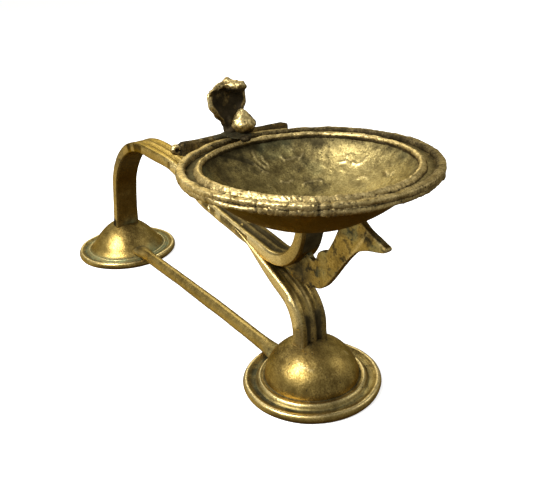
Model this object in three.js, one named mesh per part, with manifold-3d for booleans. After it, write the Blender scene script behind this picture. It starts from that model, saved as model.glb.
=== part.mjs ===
// A hand-held brass diya: a shallow oil bowl carried by a bent, fluted strap on two domed feet.
// Millimetres, +Z up. +X points from the handle to the bowl and +Y to the lamp's left.
// Heights are measured from the surface that the lamp stands on. Every piece is first placed with
// x = 0 at the middle of the front foot, and the whole lamp is then moved so that the origin is at
// the middle of its length, on that surface.
import * as THREE from 'three';
import { mergeVertices } from 'three/addons/utils/BufferGeometryUtils.js';
import Module from 'manifold-3d';

const wasm = await Module();
wasm.setup();

// ---- driving dimensions ----

const GAP = 0.3; // between two pieces that meet

// feet
const FOOT_SPACING = 148.4; // middle of the front foot to middle of the rear foot
const FOOT_RADIUS = 24;
const DISC_THICKNESS = 2.2;
const DISC_EDGE_HEIGHT = 2.7; // the disc's rolled edge stands a little higher
const DISC_LEDGE = 2.4; // how far the disc reaches in under the dome
const DOME_WALL = 2;
const FRONT_DOME_RADIUS = 16.4;
const FRONT_DOME_HEIGHT = 14.6; // above the disc
const REAR_DOME_RADIUS = 17.2;
const REAR_DOME_HEIGHT = 13.6;
const COLLAR_WIDTH = 2.4;
const COLLAR_HEIGHT = 1.5;

// bowl and rim
const RIM_X = 1.4; // middle of the bowl, forward of the front foot's middle
const RIM_TOP = 80; // height of the rim's crest
const LIP_RADIUS = 32.4; // the bowl's opening
const LIP_WIDTH = 2;
const LIP_OVERHANG = 0.6; // of the lip over the bowl's inside wall
const CHANNEL_WIDTH = 2.8; // between the lip and the bands
const BAND_WIDTH = 2.5; // each of the two bands round the rim's edge
const BAND_HEIGHT = 1.45;
const FLANGE_DROP = 1.5; // from the rim's crest down to the floor of its channel
const FLANGE_THICKNESS = 1.7;
const BOWL_DEPTH = 16.6; // inside, below the channel's floor
const BOWL_WALL = 2;

// fluted straps
const STRAP_WIDTH = 10.8;
const STRAP_END_WIDTH = 8.8; // the strap is drawn narrower towards its curl
const STRAP_THICKNESS = 4.4;
const LEG_WIDTH = 11.2;
const LEG_THICKNESS = 5.4;
const FLUTES = 3; // ridges side by side
const FLUTE_DEPTH = 1.1;
const HANDLE_TOP = 63.8; // where the middles of the arch's leg and of its top run would meet
const HANDLE_LEAN = 13.2; // the rear leg leans forward by this on its way up
const ARCH_RUN = 53.8; // from that meeting point forward to where the strap dips
const ARCH_DROP = 2.9;
const DIP_RUN = 24; // how far forward the dip reaches
const CURL_DROP = 20.2; // from the bowl's bottom down to where the curl's two runs would meet
const CURL_SETBACK = 0.6; // that meeting point lies behind the front foot's middle
const CURL_RISE = 11.1; // climb from there back to the foot of the dip
const ARCH_BEND = 35;
const DIP_BEND = 36;
const CURL_BEND = 17;
const KNEE_DROP = 9.3; // the front leg's knee below the curl's meeting point
const KNEE_BEND = 13;
const SCARF_RUN = 37; // how far back the leg's upper run reaches under the strap
const SCARF_RISE = 15.6;

// leaf bracket and tie rod
const LEAF_THICKNESS = 2;
const LEAF_ROOT_RISE = 7.1; // the leaf's lowest point above the leg's knee
const ROD_RADIUS = 2.6;
const ROD_HEIGHT = 4.8; // of its middle
const ROD_SKEW = 3.2; // the rod runs out of line, to the lamp's right at its front end

// crest behind the rim
const BAR_LENGTH = 44;
const BAR_WIDTH = 2.7;
const BAR_HEIGHT = 3.4;
const BAR_LEFT = 0.5; // of the lamp's middle
const BAR_FLUTES = 2;
const BAR_FLUTE_DEPTH = 0.5;
const TAB_WIDTH = 8.4;
const TAB_THICKNESS = 0.6;
const COBRA_HEIGHT = 18.1; // neck and hood, above the tab
const COBRA_LEAN = 0.12; // backwards, for each millimetre of height
const NECK_WIDTH = 5;
const HOOD_WIDTH = 14;
const HOOD_THICKNESS = 2.6;
const COBRA_RIGHT = 0.7; // of the lamp's middle
const HEAD_LENGTH = 10;
const HEAD_WIDTH = 4.8;
const HEAD_HEIGHT = 3.2;
const HEAD_TURN = 0.35; // radians, to the lamp's left
const LINGA_RADIUS = 4.3;
const LINGA_HEIGHT = 7.6;
const LINGA_FORWARD = 3; // of the bar's back edge
const LINGA_LEFT = 3.2; // of the lamp's middle
const PELLET_RADIUS = 1.5;
const LIP_PELLET_RIGHT = 1.6; // of the lamp's middle

// facets round a turned piece
const RIM_FACETS = 48;
const FOOT_FACETS = 32;
const SMALL_FACETS = 12;
const TAB_FACETS = 8;

// cuts along a strap
const STRAP_STEPS = 52;
const LEG_STEPS = 24;

// ---- finishes ----

function brass(name, colour, roughness) {
  return new THREE.MeshStandardMaterial({ name, color: colour, roughness, metalness: 1 });
}

const agedBrass = brass('aged_brass', 0x8a6a2c, 0.42);
const brightBrass = brass('bright_brass', 0xc9a24a, 0.3);
const darkBrass = brass('dark_brass', 0x3b2f1a, 0.55);

// ---- solids ----

// A closed mesh whose shared corners are merged, as a solid for cutting and joining.
function solidOf(geometry) {
  const bare = geometry.clone();
  bare.deleteAttribute('normal');
  bare.deleteAttribute('uv');
  const merged = mergeVertices(bare, 1e-4);
  const corners = [];
  for (let i = 0; i < merged.index.count; i += 3) {
    const a = merged.index.getX(i);
    const b = merged.index.getX(i + 1);
    const c = merged.index.getX(i + 2);
    if (a !== b && b !== c && c !== a) corners.push(a, b, c);
  }
  return new wasm.Manifold(new wasm.Mesh({
    numProp: 3,
    vertProperties: new Float32Array(merged.attributes.position.array),
    triVerts: new Uint32Array(corners),
  }));
}

function geometryOf(solid) {
  const mesh = solid.getMesh();
  const geometry = new THREE.BufferGeometry();
  geometry.setAttribute('position', new THREE.BufferAttribute(mesh.vertProperties, 3));
  geometry.setIndex(new THREE.BufferAttribute(mesh.triVerts, 1));
  geometry.computeVertexNormals();
  return geometry;
}

// A turned piece: [radius, height] pairs, spun round the vertical line at x.
function turned(outline, x, facets) {
  const points = outline.map(([radius, height]) => new THREE.Vector2(radius, height));
  const geometry = new THREE.LatheGeometry(points, facets);
  geometry.rotateX(Math.PI / 2);
  geometry.translate(x, 0, 0);
  return solidOf(geometry);
}

// Points of a quarter or part of an ellipse, from one angle to another.
function arcPoints(centre, halfWidth, halfHeight, from, to, steps) {
  const points = [];
  for (let i = 0; i <= steps; i += 1) {
    const angle = from + ((to - from) * i) / steps;
    points.push([centre[0] + halfWidth * Math.cos(angle), centre[1] + halfHeight * Math.sin(angle)]);
  }
  return points;
}

// A ring of rounded section, between two radii and two heights.
function ring(x, inner, outer, bottom, top, facets) {
  const centre = [(inner + outer) / 2, (bottom + top) / 2];
  const halfWidth = (outer - inner) / 2;
  const halfHeight = (top - bottom) / 2;
  const corners = [];
  for (let i = 0; i <= 8; i += 1) {
    const angle = (i * Math.PI) / 4 - Math.PI / 8;
    const reach = Math.cos(Math.PI / 8);
    corners.push([
      centre[0] + (halfWidth * Math.cos(angle)) / reach,
      centre[1] + (halfHeight * Math.sin(angle)) / reach,
    ]);
  }
  return turned(corners, x, facets);
}

// ---- bent paths in the lamp's upright middle plane ----

class SidePath extends THREE.Curve {
  constructor(path) {
    super();
    this.path = path;
  }

  getPoint(t, target = new THREE.Vector3()) {
    const point = this.path.getPoint(t);
    return target.set(point.x, 0, point.y);
  }
}

// Straight runs through the corners, with each inner corner rounded to its bend radius.
function bentPath(corners, bends) {
  const path = new THREE.Path();
  path.moveTo(corners[0].x, corners[0].y);
  bends.forEach((bend, i) => {
    const corner = corners[i + 1];
    const incoming = corner.clone().sub(corners[i]).normalize();
    const outgoing = corners[i + 2].clone().sub(corner).normalize();
    const turn = Math.atan2(incoming.cross(outgoing), incoming.dot(outgoing));
    const side = Math.sign(turn);
    const setback = bend * Math.tan(Math.abs(turn) / 2);
    const start = corner.clone().addScaledVector(incoming, -setback);
    const centre = new THREE.Vector2(-incoming.y, incoming.x).multiplyScalar(side * bend).add(start);
    const from = Math.atan2(start.y - centre.y, start.x - centre.x);
    path.lineTo(start.x, start.y);
    path.absarc(centre.x, centre.y, bend, from, from + turn, turn < 0);
  });
  const last = corners[corners.length - 1];
  path.lineTo(last.x, last.y);
  return new SidePath(path);
}

// A strap's section: one face smooth, the other ridged lengthways. The ridges face +y or -y.
function flutedSection({ width, thickness, flutes, depth, ridgeSide, grow }) {
  const half = width / 2 + grow;
  const smooth = ridgeSide * (-thickness / 2 - grow);
  const ridgeFoot = ridgeSide * (thickness / 2 - depth + grow);
  const ridgeHalf = half / flutes;
  const section = new THREE.Shape();
  section.moveTo(half, ridgeFoot);
  section.lineTo(half, smooth);
  section.lineTo(-half, smooth);
  section.lineTo(-half, ridgeFoot);
  for (let i = 0; i < flutes; i += 1) {
    const middle = -half + (2 * i + 1) * ridgeHalf;
    section.absellipse(middle, ridgeFoot, ridgeHalf, depth, Math.PI, 0, ridgeSide > 0);
  }
  return section;
}

function extrudeAlong(section, path, steps) {
  return new THREE.ExtrudeGeometry(section, {
    steps,
    curveSegments: 3,
    bevelEnabled: false,
    extrudePath: path,
  });
}

// ---- feet ----

const rearX = -FOOT_SPACING;
const domeFloor = DISC_THICKNESS + GAP;

function footDisc(x, domeRadius) {
  const hole = domeRadius - DISC_LEDGE;
  const edge = DISC_EDGE_HEIGHT / 2;
  const rolled = arcPoints([FOOT_RADIUS - edge, edge], edge, edge, -Math.PI / 2, Math.PI / 2, 6);
  const crest = rolled[rolled.length - 1][0];
  return turned([
    [hole, 0],
    ...rolled,
    [crest - edge, DISC_THICKNESS],
    [hole, DISC_THICKNESS],
    [hole, 0],
  ], x, FOOT_FACETS);
}

function footDome(x, radius, height) {
  const inside = arcPoints([0, domeFloor], radius - DOME_WALL, height - DOME_WALL, Math.PI / 2, 0, 6);
  const outside = arcPoints([0, domeFloor], radius, height, 0, Math.PI / 2, 7);
  return turned([...inside, ...outside], x, FOOT_FACETS);
}

function footCollar(x, domeRadius) {
  const inner = domeRadius + GAP;
  return ring(x, inner, inner + COLLAR_WIDTH, domeFloor, domeFloor + COLLAR_HEIGHT, FOOT_FACETS);
}

// A foot filled solid and a gap larger all over: what stands on a foot or lies against it is cut by this.
function footRoom(x, domeRadius, domeHeight) {
  const outer = FOOT_RADIUS + GAP;
  const discTop = DISC_EDGE_HEIGHT + GAP;
  const collar = domeRadius + COLLAR_WIDTH + 2 * GAP;
  const collarTop = domeFloor + COLLAR_HEIGHT + GAP;
  const dome = arcPoints([0, domeFloor], domeRadius + GAP, domeHeight + GAP, 0, Math.PI / 2, 7);
  return turned([[0, 0], [outer, 0], [outer, discTop], [0, discTop]], x, FOOT_FACETS)
    .add(turned([[0, 0], [collar, 0], [collar, collarTop], [0, collarTop]], x, FOOT_FACETS))
    .add(turned([[0, 0], [domeRadius + GAP, 0], ...dome], x, FOOT_FACETS));
}

const frontRoom = footRoom(0, FRONT_DOME_RADIUS, FRONT_DOME_HEIGHT);
const rearRoom = footRoom(rearX, REAR_DOME_RADIUS, REAR_DOME_HEIGHT);

// ---- bowl and rim ----

const flangeTop = RIM_TOP - FLANGE_DROP;
const flangeBottom = flangeTop - FLANGE_THICKNESS;
const flangeRadius = LIP_RADIUS + LIP_WIDTH + CHANNEL_WIDTH;
const rimRadius = flangeRadius + GAP + BAND_WIDTH;
const mouthRadius = LIP_RADIUS + LIP_OVERHANG;
const ballRadius = (mouthRadius ** 2 + BOWL_DEPTH ** 2) / (2 * BOWL_DEPTH);
const ballHeight = flangeTop - BOWL_DEPTH + ballRadius;
const bowlBottom = ballHeight - ballRadius - BOWL_WALL;

// Part of a ball round the bowl's own, from the axis out to a height.
function bowlArc(radius, height, steps) {
  const end = Math.asin((height - ballHeight) / radius);
  return arcPoints([0, ballHeight], radius, radius, -Math.PI / 2, end, steps);
}

function bowl() {
  const outside = bowlArc(ballRadius + BOWL_WALL, flangeBottom, 8);
  const inside = bowlArc(ballRadius, flangeTop, 8).reverse();
  const flange = [[flangeRadius, flangeBottom], [flangeRadius, flangeTop]];
  return turned([...outside, ...flange, ...inside], RIM_X, RIM_FACETS);
}

// The bowl filled solid and a gap larger: what reaches up to its underside is cut by this.
function bowlRoom() {
  const outside = bowlArc(ballRadius + BOWL_WALL + GAP, flangeBottom, 8);
  return turned([...outside, [0, flangeBottom]], RIM_X, RIM_FACETS);
}

function rimBand(top) {
  return ring(RIM_X, rimRadius - BAND_WIDTH, rimRadius, top - BAND_HEIGHT, top, RIM_FACETS);
}

function innerLip() {
  return ring(RIM_X, LIP_RADIUS, LIP_RADIUS + LIP_WIDTH, flangeTop + GAP, RIM_TOP, RIM_FACETS);
}

// ---- straps ----

const archX = rearX + HANDLE_LEAN;
const dipX = archX + ARCH_RUN;
const curlX = -CURL_SETBACK;
const curlHeight = bowlBottom - CURL_DROP;
const kneeHeight = curlHeight - KNEE_DROP;

const strapPath = bentPath([
  new THREE.Vector2(rearX, DISC_EDGE_HEIGHT),
  new THREE.Vector2(archX, HANDLE_TOP),
  new THREE.Vector2(dipX, HANDLE_TOP - ARCH_DROP),
  new THREE.Vector2(dipX + DIP_RUN, curlHeight + CURL_RISE),
  new THREE.Vector2(curlX, curlHeight),
  new THREE.Vector2(RIM_X, bowlBottom + BOWL_WALL),
], [ARCH_BEND, DIP_BEND, DIP_BEND, CURL_BEND]);

const legPath = bentPath([
  new THREE.Vector2(curlX, DISC_EDGE_HEIGHT),
  new THREE.Vector2(curlX, kneeHeight),
  new THREE.Vector2(curlX - SCARF_RUN, kneeHeight + SCARF_RISE),
], [KNEE_BEND]);

// Drawn narrower from the arch towards the curl.
function taper(geometry) {
  const position = geometry.attributes.position;
  for (let i = 0; i < position.count; i += 1) {
    const share = THREE.MathUtils.smoothstep(position.getX(i), archX, curlX);
    const scale = THREE.MathUtils.lerp(1, STRAP_END_WIDTH / STRAP_WIDTH, share);
    position.setY(i, position.getY(i) * scale);
  }
  return geometry;
}

function strapBody(grow) {
  const section = flutedSection({
    width: STRAP_WIDTH,
    thickness: STRAP_THICKNESS,
    flutes: FLUTES,
    depth: FLUTE_DEPTH,
    ridgeSide: -1,
    grow,
  });
  return solidOf(taper(extrudeAlong(section, strapPath, STRAP_STEPS)));
}

// The strap's smooth side and all above it, over its whole width: the leg's scarfed end stays below.
function strapRoom() {
  const half = STRAP_WIDTH;
  const over = -2 * STRAP_THICKNESS;
  const under = STRAP_THICKNESS / 2 + GAP;
  const section = new THREE.Shape();
  section.moveTo(-half, over);
  section.lineTo(half, over);
  section.lineTo(half, under);
  section.lineTo(-half, under);
  return solidOf(extrudeAlong(section, strapPath, STRAP_STEPS));
}

function legBody(grow) {
  const section = flutedSection({
    width: LEG_WIDTH,
    thickness: LEG_THICKNESS,
    flutes: FLUTES,
    depth: FLUTE_DEPTH,
    ridgeSide: 1,
    grow,
  });
  return solidOf(extrudeAlong(section, legPath, LEG_STEPS));
}

// ---- leaf bracket ----

// An upright plate that springs from the leg's knee, meets the bowl and ends in a drooping point.
// Each outline point is a distance forward of the curl and a share of the rise to the bowl's bottom.
function leafPlate() {
  const root = kneeHeight + LEAF_ROOT_RISE;
  const at = (forward, share) => new THREE.Vector2(
    curlX + forward,
    THREE.MathUtils.lerp(root, bowlBottom, share),
  );
  const outline = new THREE.Shape();
  outline.moveTo(curlX - 8, root);
  outline.lineTo(curlX - 8, at(0, 0.2).y);
  outline.lineTo(curlX - 1, at(0, 0.24).y);
  outline.splineThru([at(3.6, 0.42), at(5.7, 0.59), at(7.8, 0.65), at(10.2, 0.67)]);
  outline.splineThru([at(12.1, 0.81), at(13.5, 0.92), at(15.4, 1.08)]);
  outline.lineTo(at(25.5, 1.38).x, at(0, 1.38).y);
  outline.splineThru([at(30.3, 1.18), at(35.6, 1.1), at(35.8, 1.06), at(33.7, 1.03)]);
  outline.splineThru([at(27.1, 0.95), at(21.1, 0.76), at(15.9, 0.48), at(11.8, 0.25)]);
  outline.splineThru([at(9, 0.12), at(5.5, 0.04), at(-2.9, 0)]);
  const geometry = new THREE.ExtrudeGeometry(outline, {
    depth: LEAF_THICKNESS,
    curveSegments: 5,
    bevelEnabled: false,
  });
  geometry.rotateX(Math.PI / 2);
  geometry.translate(0, LEAF_THICKNESS / 2, 0);
  return solidOf(geometry);
}

// ---- tie rod ----

function tieRod() {
  const geometry = new THREE.CylinderGeometry(ROD_RADIUS, ROD_RADIUS, FOOT_SPACING, SMALL_FACETS);
  geometry.rotateZ(Math.PI / 2 - Math.atan2(ROD_SKEW, FOOT_SPACING));
  geometry.translate(rearX / 2, -ROD_SKEW / 2, ROD_HEIGHT);
  return solidOf(geometry).subtract(frontRoom).subtract(rearRoom);
}

// ---- crest: cross bar, tab, cobra, linga and pellets ----

const barBack = RIM_X - rimRadius - GAP - BAR_WIDTH;
const tabBottom = RIM_TOP + GAP;
const crestFloor = tabBottom + TAB_THICKNESS + GAP;
const lipPelletX = RIM_X - LIP_RADIUS + PELLET_RADIUS / 2;

// The bar lies across the back of the rim and stands on its edge, with its ridges to the back.
function crossBar() {
  const section = flutedSection({
    width: BAR_HEIGHT,
    thickness: BAR_WIDTH,
    flutes: BAR_FLUTES,
    depth: BAR_FLUTE_DEPTH,
    ridgeSide: 1,
    grow: 0,
  });
  const geometry = new THREE.ExtrudeGeometry(section, {
    depth: BAR_LENGTH,
    curveSegments: 3,
    bevelEnabled: false,
  });
  geometry.rotateZ(Math.PI / 2);
  geometry.rotateX(-Math.PI / 2);
  geometry.translate(
    barBack + BAR_WIDTH / 2,
    BAR_LEFT - BAR_LENGTH / 2,
    RIM_TOP - BAR_HEIGHT / 2,
  );
  return solidOf(geometry);
}

// A thin tongue from the bar forward over the bands and the channel, up to the pellet on the lip.
function seatTab() {
  const front = lipPelletX - PELLET_RADIUS - GAP;
  const half = TAB_WIDTH / 2;
  const outline = new THREE.Shape();
  outline.moveTo(barBack, -half);
  outline.lineTo(front - half, -half);
  outline.absarc(front - half, 0, half, -Math.PI / 2, Math.PI / 2, false);
  outline.lineTo(barBack, half);
  const geometry = new THREE.ExtrudeGeometry(outline, {
    depth: TAB_THICKNESS,
    curveSegments: TAB_FACETS,
    bevelEnabled: false,
  });
  geometry.translate(0, 0, tabBottom);
  return solidOf(geometry);
}

// The neck and spread hood: half-widths at shares of the height, the same on both sides.
function hood(grow) {
  const neck = NECK_WIDTH / 2 + grow;
  const wide = HOOD_WIDTH / 2 + grow;
  const bottom = -grow;
  const top = COBRA_HEIGHT + grow;
  const side = [
    [neck, bottom],
    [neck * 0.9, top * 0.16],
    [wide * 0.86, top * 0.42],
    [wide, top * 0.66],
    [wide * 0.8, top * 0.9],
    [0, top],
  ].map(([width, height]) => new THREE.Vector2(width, height));
  const outline = new THREE.Shape();
  outline.moveTo(-neck, bottom);
  outline.lineTo(neck, bottom);
  outline.splineThru(side.slice(1));
  outline.splineThru(side.slice(0, -1).reverse().map((point) => new THREE.Vector2(-point.x, point.y)));
  const geometry = new THREE.ExtrudeGeometry(outline, {
    depth: HOOD_THICKNESS + 2 * grow,
    curveSegments: 5,
    bevelEnabled: false,
  });
  geometry.translate(0, 0, -grow);
  geometry.rotateX(Math.PI / 2);
  geometry.rotateZ(Math.PI / 2);
  const position = geometry.attributes.position;
  for (let i = 0; i < position.count; i += 1) {
    position.setX(i, position.getX(i) + barBack - COBRA_LEAN * position.getZ(i));
  }
  geometry.translate(0, -COBRA_RIGHT, crestFloor);
  return solidOf(geometry);
}

function cobra() {
  const head = new THREE.SphereGeometry(0.5, SMALL_FACETS, SMALL_FACETS / 2);
  head.rotateX(Math.PI / 2);
  head.scale(HEAD_LENGTH, HEAD_WIDTH, HEAD_HEIGHT);
  head.translate(HEAD_LENGTH / 3, 0, 0);
  head.rotateZ(HEAD_TURN);
  const back = barBack - COBRA_LEAN * COBRA_HEIGHT + HOOD_THICKNESS / 2;
  head.translate(back, -COBRA_RIGHT, crestFloor + COBRA_HEIGHT - HEAD_HEIGHT / 2);
  return hood(0).add(solidOf(head));
}

function linga() {
  const pear = turned([
    [0, 0],
    [LINGA_RADIUS * 0.75, 0],
    [LINGA_RADIUS, LINGA_HEIGHT * 0.25],
    [LINGA_RADIUS * 0.93, LINGA_HEIGHT * 0.48],
    [LINGA_RADIUS * 0.55, LINGA_HEIGHT * 0.78],
    [LINGA_RADIUS * 0.25, LINGA_HEIGHT * 0.95],
    [0, LINGA_HEIGHT],
  ], 0, SMALL_FACETS);
  return pear.translate([barBack + LINGA_FORWARD, LINGA_LEFT, crestFloor]).subtract(hood(GAP));
}

function pellet(x, y, z) {
  const geometry = new THREE.SphereGeometry(PELLET_RADIUS, SMALL_FACETS, SMALL_FACETS / 2);
  geometry.rotateX(Math.PI / 2);
  geometry.translate(x, y, z);
  return solidOf(geometry);
}

// ---- assembly ----

const lamp = new THREE.Group();

function addPiece(name, solid, material) {
  const piece = new THREE.Mesh(geometryOf(solid), material);
  piece.name = name;
  lamp.add(piece);
}

const strapWithRoom = strapBody(GAP);
const legWithRoom = legBody(GAP);
const bowlWithRoom = bowlRoom();

addPiece('bowl', bowl(), agedBrass);
addPiece('inner_lip', innerLip(), brightBrass);
addPiece('rim_band_upper', rimBand(RIM_TOP), brightBrass);
addPiece('rim_band_lower', rimBand(RIM_TOP - BAND_HEIGHT - GAP), brightBrass);

addPiece(
  'handle_strap',
  strapBody(0).subtract(rearRoom).subtract(bowlWithRoom),
  agedBrass,
);
addPiece('front_leg', legBody(0).subtract(frontRoom).subtract(strapRoom()), agedBrass);
addPiece(
  'leaf_bracket',
  leafPlate().subtract(strapWithRoom).subtract(legWithRoom).subtract(bowlWithRoom),
  agedBrass,
);
addPiece('tie_rod', tieRod(), agedBrass);

addPiece('front_foot_disc', footDisc(0, FRONT_DOME_RADIUS), agedBrass);
addPiece('front_foot_dome', footDome(0, FRONT_DOME_RADIUS, FRONT_DOME_HEIGHT), agedBrass);
addPiece('front_foot_collar', footCollar(0, FRONT_DOME_RADIUS), agedBrass);
addPiece('rear_foot_disc', footDisc(rearX, REAR_DOME_RADIUS), agedBrass);
addPiece('rear_foot_dome', footDome(rearX, REAR_DOME_RADIUS, REAR_DOME_HEIGHT), agedBrass);
addPiece('rear_foot_collar', footCollar(rearX, REAR_DOME_RADIUS), agedBrass);

addPiece('cross_bar', crossBar(), agedBrass);
addPiece(
  'bar_end_pellet',
  pellet(
    barBack + BAR_WIDTH / 2,
    BAR_LEFT - BAR_LENGTH / 2 - GAP - PELLET_RADIUS,
    RIM_TOP - BAR_HEIGHT / 2,
  ),
  darkBrass,
);
addPiece('seat_tab', seatTab(), darkBrass);
addPiece('cobra', cobra(), darkBrass);
addPiece('linga', linga(), brightBrass);
addPiece(
  'lip_pellet',
  pellet(lipPelletX, -LIP_PELLET_RIGHT, RIM_TOP + GAP + PELLET_RADIUS),
  darkBrass,
);

// Move the origin from the front foot's middle to the middle of the lamp's length.
const frontEnd = RIM_X + rimRadius;
const rearEnd = rearX - FOOT_RADIUS;
lamp.position.x = -(frontEnd + rearEnd) / 2;

export default lamp;
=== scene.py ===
import math

import bmesh
import bpy
from mathutils import Matrix, Vector, noise


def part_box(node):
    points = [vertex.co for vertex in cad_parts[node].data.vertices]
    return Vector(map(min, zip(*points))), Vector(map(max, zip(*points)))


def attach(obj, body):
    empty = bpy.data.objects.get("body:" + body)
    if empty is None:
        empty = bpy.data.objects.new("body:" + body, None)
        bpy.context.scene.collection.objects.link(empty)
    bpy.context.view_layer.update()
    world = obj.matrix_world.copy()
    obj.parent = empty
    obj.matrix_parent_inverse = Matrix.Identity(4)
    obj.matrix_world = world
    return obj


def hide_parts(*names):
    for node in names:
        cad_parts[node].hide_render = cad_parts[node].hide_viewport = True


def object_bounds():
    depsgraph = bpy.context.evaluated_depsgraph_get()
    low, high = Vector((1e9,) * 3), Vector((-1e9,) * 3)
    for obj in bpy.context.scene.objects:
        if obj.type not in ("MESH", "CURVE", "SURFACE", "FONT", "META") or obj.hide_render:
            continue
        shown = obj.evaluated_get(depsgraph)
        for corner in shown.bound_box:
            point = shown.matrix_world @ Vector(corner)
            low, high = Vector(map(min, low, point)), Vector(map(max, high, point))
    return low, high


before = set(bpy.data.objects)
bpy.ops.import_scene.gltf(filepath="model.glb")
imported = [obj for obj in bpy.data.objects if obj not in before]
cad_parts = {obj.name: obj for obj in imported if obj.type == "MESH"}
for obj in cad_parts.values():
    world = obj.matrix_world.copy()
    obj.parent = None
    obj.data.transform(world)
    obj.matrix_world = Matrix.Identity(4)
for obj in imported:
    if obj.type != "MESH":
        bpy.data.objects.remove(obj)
cad_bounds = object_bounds()

# ---- feet ----
# Each foot is a cast brass disc with a rolled edge, a hollow dome raised on it, and a thin ring of
# braze where the dome meets the disc. Meshes are worked in millimetres and scaled once at the end.

MM = 0.001


def span(node):
    low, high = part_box(node)
    return low / MM, high / MM


def blend_in(value, start, end):
    """0 before start and 1 after end, with a smooth change between them."""
    share = min(max((value - start) / (end - start), 0.0), 1.0)
    return share * share * (3 - 2 * share)


def bump_at(distance, reach):
    """1 at no distance, falling smoothly to 0 at about twice the reach."""
    return math.exp(-((distance / reach) ** 2))


def cloud(point, size, seed):
    """Smooth unevenness from -1 to 1, with lumps of about this size."""
    return noise.noise(point / size + Vector((seed, seed * 1.7, seed * 2.3)))


def distance_to_line(x, y, line):
    """How far a flat place is from the nearest part of a line of straight lengths."""
    nearest = math.inf
    for (ax, ay), (bx, by) in zip(line, line[1:]):
        run_x, run_y = bx - ax, by - ay
        share = ((x - ax) * run_x + (y - ay) * run_y) / (run_x ** 2 + run_y ** 2)
        share = min(max(share, 0), 1)
        nearest = min(nearest, math.hypot(x - ax - share * run_x, y - ay - share * run_y))
    return nearest


def flowing(points, steps):
    """A smooth line through the points; a point given twice makes a corner."""
    line = []
    for i in range(len(points) - 1):
        a = Vector(points[max(i - 1, 0)])
        b = Vector(points[i])
        c = Vector(points[i + 1])
        d = Vector(points[min(i + 2, len(points) - 1)])
        if (c - b).length < 1e-6:
            continue
        for step in range(steps):
            t = step / steps
            line.append(0.5 * (2 * b + (c - a) * t + (2 * a - 5 * b + 4 * c - d) * t ** 2
                               + (3 * b - a - 3 * c + d) * t ** 3))
    line.append(Vector(points[-1]))
    return line


def spun(outline, x, steps):
    """A turned piece: (radius, height) pairs spun round the upright line at x."""
    bm = bmesh.new()
    corners = [bm.verts.new((x + radius, 0, height)) for radius, height in outline]
    edges = [bm.edges.new(pair) for pair in zip(corners, corners[1:])]
    bmesh.ops.spin(bm, geom=corners + edges, cent=(x, 0, 0), axis=(0, 0, 1),
                   angle=math.tau, steps=steps, use_merge=True)
    bmesh.ops.remove_doubles(bm, verts=bm.verts, dist=1e-4)
    bmesh.ops.recalc_face_normals(bm, faces=bm.faces)
    return bm


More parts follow.
